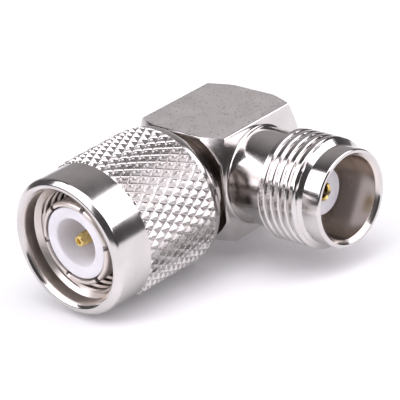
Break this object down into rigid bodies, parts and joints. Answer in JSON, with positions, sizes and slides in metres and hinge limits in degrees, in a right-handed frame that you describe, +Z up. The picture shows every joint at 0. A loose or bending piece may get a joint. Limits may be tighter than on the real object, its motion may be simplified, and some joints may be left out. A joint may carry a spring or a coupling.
{
  "type": "right-angle coax adapter",
  "caption": "Right-angle threaded coax adapter: a knurled plug nut and an outside-threaded jack on a square nickel-plated block.",
  "frame": {"origin": "where the jack's axis and the plug's axis cross, inside the square block", "axes": "+X along the jack, out of its mouth; -Y along the plug, out of the nut; +Z up, square to both axes"},
  "size_m": [0.0242, 0.0277, 0.0144],
  "materials": {
    "nickel": "brass with bright nickel plate",
    "insulator": "smooth white fluoropolymer",
    "gold": "gold plate",
    "rubber": "matte",
    "spring": "plain spring metal"
  },
  "bodies": {
    "adapter": {"body_block": "nickel", "rear_cap": "nickel", "elbow_insulator": "insulator", "plug_stem": "nickel", "finger_sleeve": "nickel", "plug_insulator": "insulator", "plug_pin": "gold", "gasket": "rubber", "retaining_ring": "spring", "jack_barrel": "nickel", "jack_insulator": "insulator", "jack_socket": "gold"},
    "nut": {"coupling_nut": "nickel"}
  },
  "joints": [
    {"name": "nut_spin", "type": "hinge", "parent": "adapter", "child": "nut", "pos_m": [0, -0.014, 0], "axis": [0, -1, 0], "continuous": true}
  ]
}
